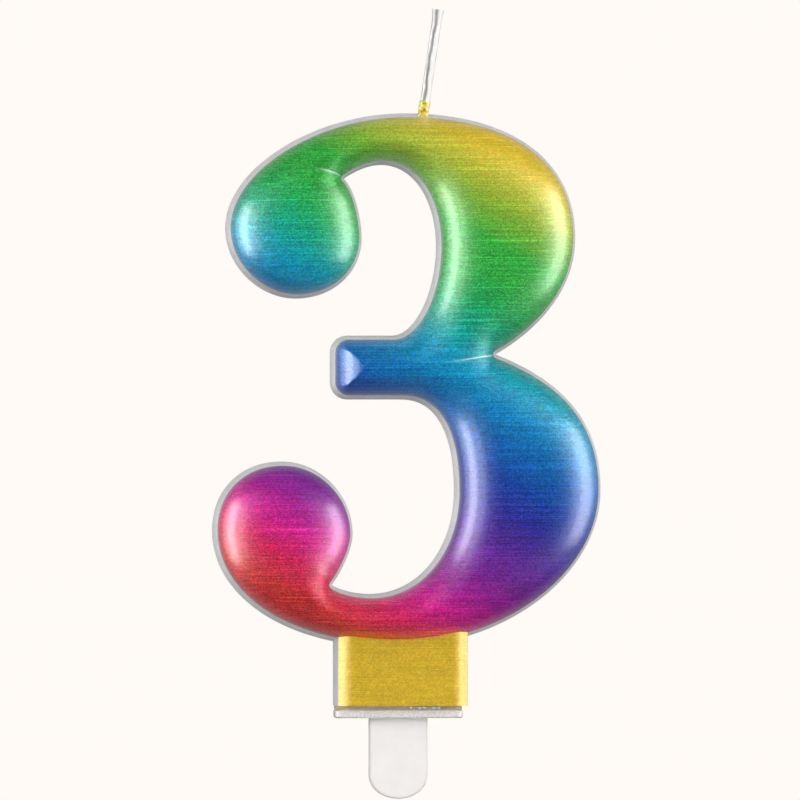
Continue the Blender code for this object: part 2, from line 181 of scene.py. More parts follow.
def new_solid(name, bm, sharp=SHARP_ANGLE):
    """An object of the mesh, smooth up to the given angle (degrees) and belonging to no body."""
    bmesh.ops.remove_doubles(bm, verts=bm.verts, dist=1e-7)
    bmesh.ops.recalc_face_normals(bm, faces=bm.faces)
    mesh = bpy.data.meshes.new(name)
    bm.to_mesh(mesh)
    bm.free()
    mesh.shade_smooth()
    mesh.set_sharp_from_angle(angle=math.radians(sharp))
    obj = bpy.data.objects.new(name, mesh)
    bpy.context.scene.collection.objects.link(obj)
    return obj


def new_piece(name, bm, body, node, material, sharp=SHARP_ANGLE):
    """A piece that rides a body and stands for a node of the frame, if one is given."""
    obj = new_solid(name, bm, sharp)
    obj.data.materials.append(material)
    hand_over(obj, body, node)
    return obj


def hand_over(obj, body, node):
    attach(obj, body)
    if node:
        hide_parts(node)


def apply_boolean(obj, other, operation):
    """Applies a Boolean and removes the other object."""
    modifier = obj.modifiers.new("cut", "BOOLEAN")
    modifier.operation = operation
    modifier.object = other
    graph = bpy.context.evaluated_depsgraph_get()
    mesh = bpy.data.meshes.new_from_object(obj.evaluated_get(graph))
    obj.modifiers.remove(modifier)
    obj.data = mesh
    bpy.data.objects.remove(other, do_unlink=True)


# Outline


def heading(degrees):
    return np.array([math.cos(math.radians(degrees)), math.sin(math.radians(degrees))])


def span_points(start, leaving, end, arriving, fullness):
    """One smooth span: points and unit tangents of a cubic whose handles aim at its tangents' crossing."""
    u, v = heading(leaving), heading(arriving)
    reach = np.linalg.solve(np.column_stack([u, v]), end - start)
    a = start + u * reach[0] * fullness
    b = end - v * reach[1] * fullness
    count = max(4, round(np.linalg.norm(end - start) * 1.1 / OUTLINE_STEP))
    t = np.linspace(0, 1, count + 1)[:, None]
    points = (1 - t) ** 3 * start + 3 * (1 - t) ** 2 * t * a + 3 * (1 - t) * t**2 * b + t**3 * end
    slope = (1 - t) ** 2 * (a - start) + 2 * (1 - t) * t * (b - a) + t**2 * (end - b)
    return points, slope / np.linalg.norm(slope, axis=1)[:, None]


def arc_points(centre, radius, first, last, count):
    """A clockwise arc by its first and last headings of travel."""
    turns = [heading(degrees) for degrees in np.linspace(first, last, count + 1)]
    points = [centre + radius * heading(degrees + 90) for degrees in np.linspace(first, last, count + 1)]
    return np.array(points), np.array(turns)


def arm_end_points(low, high):
    """The arm's blunt end: out along its underside, round two corners and back along its top."""
    r, x = ARM_CORNER, ARM_END_X
    straight = round((low[0] - x - r) / OUTLINE_STEP)
    under = np.linspace([low[0], low[1]], [x + r, low[1]], straight + 1)[:-1]
    corner_low = arc_points(np.array([x + r, low[1] + r]), r, 180, 90, 10)
    end = np.linspace([x, low[1] + r], [x, high[1] - r], 9)[1:-1]
    corner_high = arc_points(np.array([x + r, high[1] - r]), r, 90, 0, 10)
    over = np.linspace([x + r, high[1]], [high[0], high[1]], straight + 1)[1:]
    along = [np.tile(heading(180), (len(under), 1)), corner_low[1], np.tile(heading(90), (len(end), 1))]
    along += [corner_high[1], np.tile(heading(0), (len(over), 1))]
    return np.vstack([under, corner_low[0], end, corner_high[0], over]), np.vstack(along)


def numeral_outline():
    """Points round the numeral in metres and their inward normals. A sharp notch repeats its point with a fan
    of normals, so that a ring set in from it turns in an arc."""
    points, tangents = [], []
    for here, there in zip(OUTLINE, OUTLINE[1:] + OUTLINE[:1]):
        start, end = np.array(here[1:3]), np.array(there[1:3])
        if here[5] is None:
            span = arm_end_points(start, end)
        else:
            span = span_points(start, here[4], end, there[3], here[5])
        points.append(span[0][:-1])
        tangents.append(span[1][:-1])
        if there[3] != there[4]:
            turns = np.linspace(there[3], there[4], NOTCH_FAN)[:-1]
            points.append(np.tile(end, (len(turns), 1)))
            tangents.append(np.array([heading(degrees) for degrees in turns]))
    points, tangents = np.vstack(points) * MM, np.vstack(tangents)
    return points, np.column_stack([tangents[:, 1], -tangents[:, 0]])


def distance_to(outline, points):
    """Shortest distance from each point to the closed outline."""
    start, end = outline, np.roll(outline, -1, axis=0)
    keep = np.linalg.norm(end - start, axis=1) > 1e-9
    start, along = start[keep], (end - start)[keep]
    found = []
    for part in np.array_split(points, max(1, len(points) // 2000)):
        offset = part[:, None] - start[None]
        share = np.clip((offset * along).sum(2) / (along**2).sum(1), 0, 1)
        found.append(np.linalg.norm(offset - share[..., None] * along, axis=2).min(1))
    return np.concatenate(found)


def smooth_depth(outline, points):
    """Distance in from the outline, exact near it and further in without ridges where two sides' slopes meet."""
    exact = distance_to(outline, points)
    start, end = outline, np.roll(outline, -1, axis=0)
    middle, length = (start + end) / 2, np.linalg.norm(end - start, axis=1)
    found = []
    for part in np.array_split(points, max(1, len(points) // 2000)):
        gap = ((part[:, None] - middle[None]) ** 2).sum(2) + 1e-9
        found.append((length / gap**3).sum(1))
    soft = (np.concatenate(found) / (3 * math.pi / 8)) ** -0.2
    share = smoothstep((soft - BLEND_DEPTHS[0]) / (BLEND_DEPTHS[1] - BLEND_DEPTHS[0]))
    on_arm = np.abs(points[:, 1] - ARM_MIDDLE_Z * MM) < ARM_HALF * MM
    from_end = points[:, 0] / MM - ARM_END_X
    mitred = np.where(on_arm, 1 - smoothstep((from_end - ARM_MITRES[0]) / (ARM_MITRES[1] - ARM_MITRES[0])), 0)
    return exact + (soft - exact) * share * (1 - mitred)


def inside(outline, points):
    """Which of the points lie within the closed outline."""
    start, end = outline, np.roll(outline, -1, axis=0)
    z = points[:, 1:2]
    crosses = (start[:, 1] > z) != (end[:, 1] > z)
    rise = np.where(start[:, 1] == end[:, 1], 1.0, end[:, 1] - start[:, 1])
    x = start[:, 0] + (z - start[:, 1]) * (end[:, 0] - start[:, 0]) / rise
    return (crosses & (points[:, 0:1] < x)).sum(1) % 2 == 1


# Relief


class Relief:
    """The numeral's face: points (x, z), how far each stands forward of the foil's edge, and its faces.

    Rows of quads run round the shoulder, and a lattice of triangles fills the middle. The rows come first.
    """

    def __init__(self):
        self.outline, self.normals = numeral_outline()
        self.count = len(self.outline)
        insets = PILLOW_REACH * (1 - np.cos(np.radians(SHOULDER_TURNS)) ** (2 / PILLOW_POWER))
        rings = [self.outline + self.normals * (RIM_DRAFT + inset) for inset in insets]
        self.notches = [Notch(anchor) for anchor in OUTLINE if anchor[0] in NOTCHES]
        lattice = self.clear_creases(self.lattice(RIM_DRAFT + insets[-1]))
        lattice = np.vstack([lattice, *self.crease_rows(RIM_DRAFT + insets[-1])])
        self.points = np.vstack([*rings, lattice])
        self.faces = []
        for row in range(len(rings) - 1):
            self.faces += self.strip(row * self.count, (row + 1) * self.count)
        first = (len(rings) - 1) * self.count
        filling = fill(np.vstack([rings[-1], lattice]), self.count)
        self.faces += [[first + i for i in face] for face in filling]
        self.depth = smooth_depth(self.outline, self.points) - RIM_DRAFT
        self.crease = np.max([notch.crease(self.points) for notch in self.notches], axis=0)
        self.dull_and_shade = np.max([notch.dull_and_shade(self.points) for notch in self.notches], axis=0)
        self.rise = swell(np.maximum(self.depth, 0)) - CREASE_DEPTH * self.crease

    def lattice(self, clear):
        low, high = self.outline.min(0), self.outline.max(0)
        rows = []
        for number, z in enumerate(np.arange(low[1], high[1], FACE_STEP * 0.87)):
            xs = np.arange(low[0] + (number % 2) * FACE_STEP / 2, high[0], FACE_STEP)
            rows.append(np.column_stack([xs, np.full(len(xs), z)]))
        points = np.vstack(rows)
        points = points[inside(self.outline, points)]
        return points[distance_to(self.outline, points) > clear + FACE_STEP * 0.5]

    def crease_rows(self, clear):
        rows = []
        for notch in self.notches:
            along = np.arange(clear / MM + CREASE_STEP, notch.length, CREASE_STEP)
            for side in CREASE_ROWS:
                off = side + notch.bend(along)
                rows.append(notch.place + (np.outer(along, notch.axis) + np.outer(off, notch.across)) * MM)
        return rows

    def clear_creases(self, lattice):
        """Leaves out the lattice's points that lie too near a crease's own rows."""
        for notch in self.notches:
            along, side = notch.local(lattice)
            near = np.abs(side) < CREASE_ROWS[-1] + CREASE_CLEAR
            lattice = lattice[~((along > 0) & (along < notch.length + 0.1) & near)]
        return lattice

    def strip(self, a, b):
        n = self.count
        return [[a + i, a + (i + 1) % n, b + (i + 1) % n, b + i] for i in range(n)]


class Notch:
    """A sharp notch of the outline: round it the foil's coat is dulled and its colour darkened as painted shade, and
    a fine crease, drawn with a painted highlight line, runs in from it.
    """

    def __init__(self, anchor):
        name, x, z, arriving, leaving, _ = anchor
        direction, self.length, self.bow, self.strength = NOTCHES[name]
        self.place = np.array([x, z]) * MM
        self.axis = heading(direction)
        self.across = np.array([-self.axis[1], self.axis[0]])
        # from the crease to the inward normal on each side of the notch, in degrees
        self.spread = [abs((direction - (side - 90) + 180) % 360 - 180) for side in (arriving, leaving)]

    def bend(self, along):
        return -self.bow * np.sin(np.clip(along / self.length, 0, 1) * math.pi)

    def local(self, points):
        """Places along the crease and to its side, in mm."""
        offset = (points - self.place) / MM
        along = offset @ self.axis
        return along, offset @ self.across - self.bend(along)

    def dull_and_shade(self, points):
        """How far the coat is dulled and the colour darkened as painted shade: fully at the notch, fading out along
        the crease.
        """
        offset = (points - self.place) / MM
        away = (np.linalg.norm(offset, axis=1) - DULL_AND_SHADE_REACH[0]) / (DULL_AND_SHADE_REACH[1] - DULL_AND_SHADE_REACH[0])
        turn = np.degrees(np.arctan2(offset @ self.across, offset @ self.axis))
        spread = np.where(turn < 0, self.spread[0], self.spread[1]) + DULL_AND_SHADE_TURN
        return smoothstep(2 * (1 - np.abs(turn) / spread)) * (1 - smoothstep(away))

    def crease(self, points):
        along, side = self.local(points)
        ends = smoothstep((along - 0.5) / 0.8) * (1 - smoothstep((along / self.length - 0.5) / 0.5))
        return self.strength * ends * np.exp(-((side / CREASE_HALF) ** 2))


def swell(distance):
    """How far the face stands forward of the foil's edge, by distance in from that edge."""
    share = np.clip(1 - distance / PILLOW_REACH, 0, 1)
    return PILLOW_RISE * (1 - share**PILLOW_POWER) ** (1 / PILLOW_POWER)


def fill(points, ring_count):
    """Triangles that fill the ring of the first ring_count points, with corners at the points after them too."""
    keep = [0]
    for i in range(1, ring_count):
        if np.linalg.norm(points[i] - points[keep[-1]]) > 1e-8:
            keep.append(i)
    order = keep + list(range(ring_count, len(points)))
    edges = [(i, (i + 1) % len(keep)) for i in range(len(keep))]
    corners = [Vector(points[i] / MM) for i in order]
    found = delaunay_2d_cdt(corners, edges, [], 1, 1e-7)
    back = {new: old[0] for new, old in enumerate(found[3])}
    return [[order[back[i]] for i in face] for face in found[2]]


def add_ring(bm, ring, y):
    return [bm.verts.new((x, y, z)) for x, z in ring]


def join_rings(bm, a, b):
    for i in range(len(a)):
        j = (i + 1) % len(a)
        bm.faces.new((a[i], a[j], b[j], b[i]))


def close_rings(bm, rings):
    """A closed skin over a stack of rings, capped at both ends."""
    for ring, after in zip(rings, rings[1:]):
        join_rings(bm, ring, after)
    bm.faces.new(rings[0])
    bm.faces.new(rings[-1])


def rainbow_foil(relief, material):
    """The foil as a thin closed shell over the whole face, with what its look needs as attributes."""
    edge_y = BACK_Y - RIM_DEPTH
    bm = bmesh.new()
    marks = [bm.verts.layers.float.new(name) for name in ("edge_distance", "crease", "dull_and_shade")]
    shells = []
    for lift in (0.0, FOIL):
        verts = [bm.verts.new((x, edge_y - r + lift, z)) for (x, z), r in zip(relief.points, relief.rise)]
        for vert, *values in zip(verts, relief.depth, relief.crease, relief.dull_and_shade):
            for mark, value in zip(marks, values):
                vert[mark] = value
        shells.append(verts)
    outer, inner = shells
    for face in relief.faces:
        bm.faces.new([outer[i] for i in face])
        bm.faces.new([inner[i] for i in reversed(face)])
    join_rings(bm, outer[: relief.count], inner[: relief.count])
    return new_piece("rainbow_foil_skin", bm, "candle", "rainbow_foil", material, 180)


def numeral_wax(relief):
    """The numeral's wax: rounded back edge, leaning side wall, and the face just under the foil."""
    edge_y = BACK_Y - RIM_DEPTH + SKIN
    bm = bmesh.new()
    face = [bm.verts.new((x, edge_y - r, z)) for (x, z), r in zip(relief.points, relief.rise)]
    for corners in relief.faces:
        bm.faces.new([face[i] for i in corners])
    ring = face[: relief.count]
    wall = BACK_Y - BACK_FILLET - edge_y
    levels = [(RIM_DRAFT * (1 - share) ** 1.5, edge_y + wall * share) for share in np.linspace(0, 1, 9)[1:]]
    for turn in np.linspace(0, math.pi / 2, 6)[1:]:
        levels.append((BACK_FILLET * (1 - math.cos(turn)), BACK_Y - BACK_FILLET * (1 - math.sin(turn))))
    for inset, y in levels:
        after = add_ring(bm, relief.outline + relief.normals * inset, y)
        join_rings(bm, ring, after)
        ring = after
    back = relief.outline + relief.normals * BACK_FILLET
    for corners in fill(back, relief.count):
        bm.faces.new([ring[i] for i in corners])
    return new_solid("numeral_wax", bm)


# Pedestal


def upright_prism(bm, profile, bottom, top, bevel=0.0):
    """A closed profile of (x, y) points raised from bottom to top, its ends drawn in by a small bevel."""
    middle, span = np.mean(profile, axis=0), np.ptp(profile, axis=0)
    levels = [(bottom, 0.0), (top, 0.0)]
    if bevel:
        levels = [(bottom, bevel), (bottom + bevel, 0.0), (top - bevel, 0.0), (top, bevel)]
    rings = []
    for z, inset in levels:
        scale = 1 - 2 * inset / span
        rings.append([bm.verts.new((*(middle + (np.array(p) - middle) * scale), z)) for p in profile])
    close_rings(bm, rings)


def front_profile(half_width, front_y, chamfer, end_y):
    """(x, y) points of the pedestal's front from left to right, over both chamfered edges and back to end_y."""
    corners = ((-half_width, end_y), (-half_width, front_y + chamfer), (-half_width + chamfer, front_y), (0, front_y))
    left = [(PEDESTAL_X + corners[0][0], corners[0][1])]
    for before, corner, after in zip(corners, corners[1:], corners[2:]):
        corner = np.array(corner)
        back, ahead = np.array(before) - corner, np.array(after) - corner
        a = corner + back / np.linalg.norm(back) * PEDESTAL_SOFTNESS
        b = corner + ahead / np.linalg.norm(ahead) * PEDESTAL_SOFTNESS
        for t in np.linspace(0, 1, 6):
            point = (1 - t) ** 2 * a + 2 * (1 - t) * t * corner + t**2 * b
            left.append((PEDESTAL_X + point[0], point[1]))
    right = [(2 * PEDESTAL_X - x, y) for x, y in reversed(left)]
    return left + right


def pedestal_wax():
    """The pedestal's wax just under the gold, leaning out from behind its chamfers to its rounded back edges."""
    half, front = PEDESTAL_HALF - SKIN, GOLD_LOW.y + SKIN
    back = half + PEDESTAL_DRAFT - BACK_FILLET
    profile = front_profile(half, front, PEDESTAL_EDGE - SKIN, GOLD_LOW.y + PEDESTAL_EDGE + FRONT_SIDE)
    for side, first in ((1, 0), (-1, 90)):
        for degrees in np.linspace(first, first + 90, 6):
            turn = BACK_FILLET * heading(degrees)
            profile.append((PEDESTAL_X + side * back + turn[0], BACK_Y - BACK_FILLET + turn[1]))
    bm = bmesh.new()
    upright_prism(bm, profile, GOLD_LOW.z, PEDESTAL_TOP)
    return new_solid("pedestal_wax", bm)


def gold_foil(material):
    """A thin skin over the pedestal's front that ends on its chamfers."""
    end_y = GOLD_LOW.y + PEDESTAL_EDGE + FRONT_SIDE
    wrap_y = GOLD_LOW.y + GOLD_WRAP
    outer = front_profile(PEDESTAL_HALF, GOLD_LOW.y, PEDESTAL_EDGE, end_y)
    inner = front_profile(PEDESTAL_HALF - FOIL, GOLD_LOW.y + FOIL, PEDESTAL_EDGE - FOIL * 0.4, end_y)
    outer = [point for point in outer if point[1] < wrap_y]
    inner = [point for point in inner if point[1] < wrap_y + FOIL]
    for side in (outer, inner):
        reach = wrap_y - side[0][1]
        side.insert(0, (side[0][0] - reach, wrap_y))
        side.append((side[-1][0] + reach, wrap_y))
    bm = bmesh.new()
    upright_prism(bm, outer + inner[::-1], GOLD_LOW.z, PEDESTAL_TOP)
    return new_piece("gold_foil_skin", bm, "candle", "gold_foil", material, 30)


def wax_body(relief, material):
    """The one casting: numeral and pedestal, with the tang's slot and the wick's bore."""
    body = numeral_wax(relief)
    apply_boolean(body, pedestal_wax(), "UNION")
    apply_boolean(body, tang_slot(GOLD_LOW.z - CUT, PICK_HIGH.z + 0.4 * MM), "DIFFERENCE")
    bore = bmesh.new()
    turned(bore, [(0, -0.3 * MM), (WICK_RADIUS, -0.3 * MM), (WICK_RADIUS, WICK_BELOW + 3 * MM),
                  (0, WICK_BELOW + 3 * MM)], 24, along_wick(-WICK_BELOW))
    apply_boolean(body, new_solid("bore", bore), "DIFFERENCE")
    body.name = "wax_casting"
    body.data.materials.clear()
    body.data.materials.append(material)
    for polygon in body.data.polygons:
        polygon.material_index = 0
    body.data.shade_smooth()
    body.data.set_sharp_from_angle(angle=math.radians(SHARP_ANGLE))
    hand_over(body, "candle", "wax_body")
    return body


# Pick and foot plate


def tang_slot(bottom, top):
    """A cutter for the slot that the pick's tang slides in."""
    bm = bmesh.new()
    half, thick = PICK_HIGH.x + SLOT_GAP, PICK_HIGH.y + SLOT_GAP
    size = Vector((2 * half, 2 * thick, top - bottom))
    place = Matrix.Translation((0, 0, (bottom + top) / 2)) @ Matrix.Diagonal((*size, 1.0))
    bmesh.ops.create_cube(bm, size=1.0, matrix=place)
    return new_solid("slot", bm)


def pick(material):
    """The flat pick, with rounded edges and a rounded tip."""
    half, thick = PICK_HIGH.x, PICK_HIGH.y
    turns = np.linspace(0, math.pi / 2, 6)
    layers = [(PICK_EDGE * (1 - math.sin(t)), -thick + PICK_EDGE * (1 - math.cos(t))) for t in turns]
    layers += [(inset, -y) for inset, y in reversed(layers)]
    bm = bmesh.new()
    rings = []
    for inset, y in layers:
        w, bottom, tip, top = half - inset, PICK_LOW.z + inset, PICK_TIP - inset, PICK_HIGH.z - inset
        outline = [(-w, z) for z in np.linspace(top, bottom + tip, 24)[:-1]]
        for angle in np.linspace(math.pi, 2 * math.pi, 41):
            outline.append((w * math.cos(angle), bottom + tip + tip * math.sin(angle)))
        outline += [(w, z) for z in np.linspace(bottom + tip, top, 24)[1:]]
        rings.append(add_ring(bm, outline, y))
    close_rings(bm, rings)
    return new_piece("pick_blade", bm, "pick", "pick", material)


def foot_plate(material):
    """The plate under the pedestal, with rounded corners and the tang's slot through it."""
    half, deep, r = PLATE_HIGH.x, PLATE_HIGH.y, PLATE_CORNER
    profile = []
    for sx, sy, first in ((1, 1, 0), (-1, 1, 90), (-1, -1, 180), (1, -1, 270)):
        for degrees in np.linspace(first, first + 90, 13):
            turn = heading(degrees) * r
            profile.append((sx * (half - r) + turn[0], sy * (deep - r) + turn[1]))
    bm = bmesh.new()
    upright_prism(bm, profile, PLATE_LOW.z, PLATE_HIGH.z, PLATE_BEVEL)
    plate = new_piece("foot_plate_moulding", bm, "candle", "foot_plate", material)
    apply_boolean(plate, tang_slot(PLATE_LOW.z - CUT, PLATE_HIGH.z + CUT), "DIFFERENCE")
    return plate


def glue_beads(material):
    """Small beads of clear glue squeezed out of the seam, joined by a thin thread."""
    low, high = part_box("glue_bead")
    middle = (low + high) / 2
    bm = bmesh.new()
    rings = []
    for share in np.linspace(0, 1, 100):
        size = 0.12 + sum(h * math.exp(-(((share - at) / width) ** 2)) for at, h, width in GLUE_SWELLINGS)
        radius = min(size, 1.4) * GLUE_RADIUS * (0.3 if share in (0, 1) else 1.0)
        x = low.x + share * (high.x - low.x)
        turns = [heading(360 * k / 16) * radius for k in range(16)]
        rings.append([bm.verts.new((x, middle.y - GLUE_FORWARD + turn[0], middle.z + turn[1])) for turn in turns])
    close_rings(bm, rings)
    return new_piece("glue_beads", bm, "candle", "glue_bead", material)


def glue_film(material):
    """The film of glue between the pedestal and the foot plate, its front a little wavy, set in the shaded seam; its
    beige-brown colour is painted shade with a painted reflection of the gold.
    """
    half, back = PLATE_HIGH.x - 0.12 * MM, PLATE_HIGH.y - 0.3 * MM
    profile = []
    for x in np.linspace(-half, half, 60):
        wave = 0.05 * math.sin(x * 2300 + 1) + 0.04 * math.sin(x * 5100)
        profile.append((x, SEAM_FRONT_Y + wave * MM))
    profile += [(half, back), (-half, back)]
    bm = bmesh.new()
    upright_prism(bm, profile, PLATE_HIGH.z + 0.01 * MM, GOLD_LOW.z - 0.01 * MM)
    film = new_piece("glue_film", bm, "candle", None, material)
    apply_boolean(film, tang_slot(PLATE_LOW.z, PLATE_HIGH.z + 2 * MM), "DIFFERENCE")
    return film


# Wick


def along_wick(distance):
    """Frame on the wick's axis at a distance from its foot, with Z along the wick."""
    lean = Matrix.Rotation(WICK_LEAN, 4, "Y")
    return Matrix.Translation(WICK_FOOT) @ lean @ Matrix.Translation((0, 0, distance))


def turned(bm, profile, sides, place):
    """A solid turned about Z from a closed profile of (radius, z) points, put at place."""
    columns = []
    for k in range(sides):
        angle = 2 * math.pi * k / sides
        turn = (math.cos(angle), math.sin(angle))
        columns.append([bm.verts.new((r * turn[0], r * turn[1], z)) for r, z in profile])
    for column, after in zip(columns, columns[1:] + columns[:1]):
        join_rings(bm, column, after)
    bmesh.ops.remove_doubles(bm, verts=bm.verts, dist=1e-7)
    bm.transform(place)


def wick(material):
    """Strands pressed together, with lengthwise grooves that wander a little, and a flared, slanting cut tip.

    The groove attribute is 1 at the bottom of a groove; it carries painted shade, darkening the wick in its grooves
    and inside its hollow cut end.
    """
    bm = bmesh.new()
    groove = bm.verts.layers.float.new("groove")
    sides, rows = 72, 150
    length = WICK_ABOVE + WICK_BELOW
    rings = []
    for row in range(rows + 1):
        along = row / rows * length
        tip = max(0.0, (along - WICK_BELOW) / WICK_ABOVE)
        flare = 1 + WICK_FLARE * max(0.0, (tip - FLARE_FROM) / (1 - FLARE_FROM)) ** 1.5
        wander = 7 * math.sin(tip * 9) + 3 * math.sin(tip * 31)
        ring = []
        for k in range(sides):
            degrees = 360 * k / sides
            radius, groove_shade = 1.0, 0.0
            for place, depth, half, tone in WICK_GROOVES:
                gap = (degrees - place - wander + 180) % 360 - 180
                drop = math.exp(-((gap / half) ** 2))
                radius -= depth * drop
                groove_shade = max(groove_shade, tone * drop)
            ripple = 0.012 * math.sin(math.radians(9 * degrees) + 900 * along)
            ripple += 0.012 * math.sin(math.radians(5 * degrees) - 2300 * along)
            turn = heading(degrees) * radius * WICK_RADIUS * flare * (0.97 + ripple)
            slant = 0.06 * MM * math.cos(math.radians(degrees)) * tip**40
            vert = bm.verts.new((turn[0], turn[1], along - slant))
            vert[groove] = groove_shade
            ring.append(vert)
        rings.append(ring)
    for ring, after in zip(rings, rings[1:]):
        join_rings(bm, ring, after)
    bm.faces.new(rings[0])
    ring = rings[-1]
    for share, drop in ((0.8, 0.02), (0.5, 0.16), (0.2, 0.24)):  # the cut end is hollow
        middle = sum((v.co for v in ring), Vector()) / sides
        after = [bm.verts.new(middle + (v.co - middle) * share - Vector((0, 0, drop * MM))) for v in ring]
        # painted shade: darker deeper inside the hollow end
        for vert in after:
            vert[groove] = 0.3 + 0.5 * (1 - share)
        join_rings(bm, ring, after)
        ring = after
    bm.faces.new(ring)
    bm.transform(along_wick(-WICK_BELOW))
    return new_piece("wick_strand", bm, "candle", "wick", material, 60)


def wick_seal(material):
    """A lumpy dab of gold wax wrapped round the wick's foot, in two swellings."""
    bm = bmesh.new()
    sides, rows = 48, 56
    rings = []
    for row in range(rows + 1):
        share = row / rows
        ring = []
        for k in range(sides):
            angle = 2 * math.pi * k / sides
            lumps = 0.05 * math.sin(3 * angle + 9 * share) + 0.05 * math.cos(2 * angle - 14 * share + 1.1)
            lumps += 0.03 * math.sin(7 * angle + 21 * share)
            nick = -0.16 * math.exp(-(((share - 0.47) / 0.07) ** 2)) * (0.55 + 0.45 * math.cos(angle + 0.5))
            skirt = 0.16 * math.exp(-share * 14)
            top = -0.20 * math.exp(-(1 - share) * 22)
            radius = WICK_RADIUS * (1.05 + lumps + nick + skirt + top)
            ring.append(bm.verts.new((radius * math.cos(angle), radius * math.sin(angle), share * SEAL_HEIGHT)))
        rings.append(ring)
    close_rings(bm, rings)
    bm.transform(along_wick(-SEAL_SUNK))
    return new_piece("wick_seal_dab", bm, "candle", "wick_seal", material, 60)


# Materials


class Look:
    """A Principled material and short ways to add nodes to it."""

    def __init__(self, name, **values):
        self.material = bpy.data.materials.new(name)
        self.material.use_nodes = True
        self.tree = self.material.node_tree
        self.shader = self.tree.nodes["Principled BSDF"]
        for key, value in values.items():
            self.shader.inputs[key.replace("_", " ")].default_value = value
        self.place = self.node("TexCoord").outputs["Object"]

    def node(self, kind, **inputs):
        """A new node, with each named input set to a value or linked to another node's output."""
        node = self.tree.nodes.new("ShaderNode" + kind)
        for key, value in inputs.items():
            self.feed(node.inputs[key.replace("_", " ")], value)
        return node

    def feed(self, socket, value):
        if isinstance(value, bpy.types.NodeSocket):
            self.tree.links.new(value, socket)
        else:
            socket.default_value = value

    def set(self, key, value):
        self.feed(self.shader.inputs[key], value)

    def math(self, operation, a, b):
        node = self.node("Math")
        node.operation = operation
        self.feed(node.inputs[0], a)
        self.feed(node.inputs[1], b)
        return node.outputs[0]

    def stretched(self, x, y, z):
        """Object coordinates in millimetres, scaled along each axis."""
        scale = (1000 * x, 1000 * y, 1000 * z)
        return self.node("Mapping", Scale=scale, Vector=self.place).outputs["Vector"]

    def noise(self, vector, scale, detail=2.0, roughness=0.5):
        node = self.node("TexNoise", Vector=vector, Scale=scale, Detail=detail, Roughness=roughness)
        return node.outputs["Fac"]

    def cells(self, vector, scale):
        """A random colour for each small cell."""
        return self.node("TexVoronoi", Vector=vector, Scale=scale).outputs["Color"]

    def sparkle(self, vector, scale):
        """A random value for each small cell."""
        return self.node("SeparateColor", Color=self.cells(vector, scale)).outputs[0]

    def spread(self, value, low, high, to_low, to_high):
        """The value carried from the range low to high over to another range, and held at its ends."""
        node = self.node("MapRange", Value=value, From_Min=low, From_Max=high, To_Min=to_low, To_Max=to_high)
        return node.outputs["Result"]

    def ramp(self, value, stops):
        node = self.node("ValToRGB", Fac=value)
        elements = node.color_ramp.elements
        while len(elements) < len(stops):
            elements.new(0.5)
        for element, (position, _) in zip(elements, stops):
            element.position = position
        for element, (_, colour) in zip(elements, stops):
            element.color = colour
        return node.outputs["Color"]

    def vector_math(self, operation, *values):
        node = self.node("VectorMath")
        node.operation = operation
        for socket, value in zip(node.inputs, values):
            self.feed(socket, value)
        return node

    def scale_colour(self, colour, value):
        node = self.vector_math("SCALE", colour)
        self.feed(node.inputs["Scale"], value)
        return node.outputs[0]

    def times(self, a, b):
        return self.vector_math("MULTIPLY", a, b).outputs[0]

    def share_plus(self, a, share, b):
        """A share of colour a, and b, a colour or an even level."""
        b = [b] * 3 if isinstance(b, float) else b
        return self.vector_math("MULTIPLY_ADD", a, [share] * 3, b).outputs[0]

    def mix(self, factor, a, b):
        node = self.node("Mix")
        node.data_type = "RGBA"
        for number, value in ((0, factor), (6, a), (7, b)):
            self.feed(node.inputs[number], value)
        return node.outputs[2]

    def attribute(self, name):
        node = self.node("Attribute")
        node.attribute_name = name
        return node.outputs["Fac"]

    def bump(self, height, strength, distance, socket="Normal"):
        node = self.node("Bump", Height=height, Strength=strength, Distance=distance)
        self.set(socket, node.outputs["Normal"])


# The foil's rainbow, from its upper right to its lower left: (mm along the fade, colour)
RAINBOW = (
    (-79, (238, 198, 46)),
    (-75, (221, 195, 46)),
    (-72, (190, 194, 58)),
    (-68, (122, 177, 52)),
    (-64, (52, 172, 62)),
    (-60, (46, 165, 64)),
    (-56, (28, 166, 88)),
    (-52, (10, 163, 134)),
    (-48, (4, 156, 186)),
    (-44, (0, 127, 184)),
    (-40, (0, 98, 176)),
    (-36, (12, 66, 158)),
    (-32, (42, 44, 149)),
    (-28, (82, 38, 149)),
    (-24, (113, 34, 148)),
    (-20, (151, 24, 143)),
    (-16, (204, 26, 138)),
    (-12, (209, 32, 88)),
    (-8, (207, 54, 54)),
    (-5, (200, 48, 50)),
)
FADE_LEAN = 0.55  # mm of the fade per mm to the left


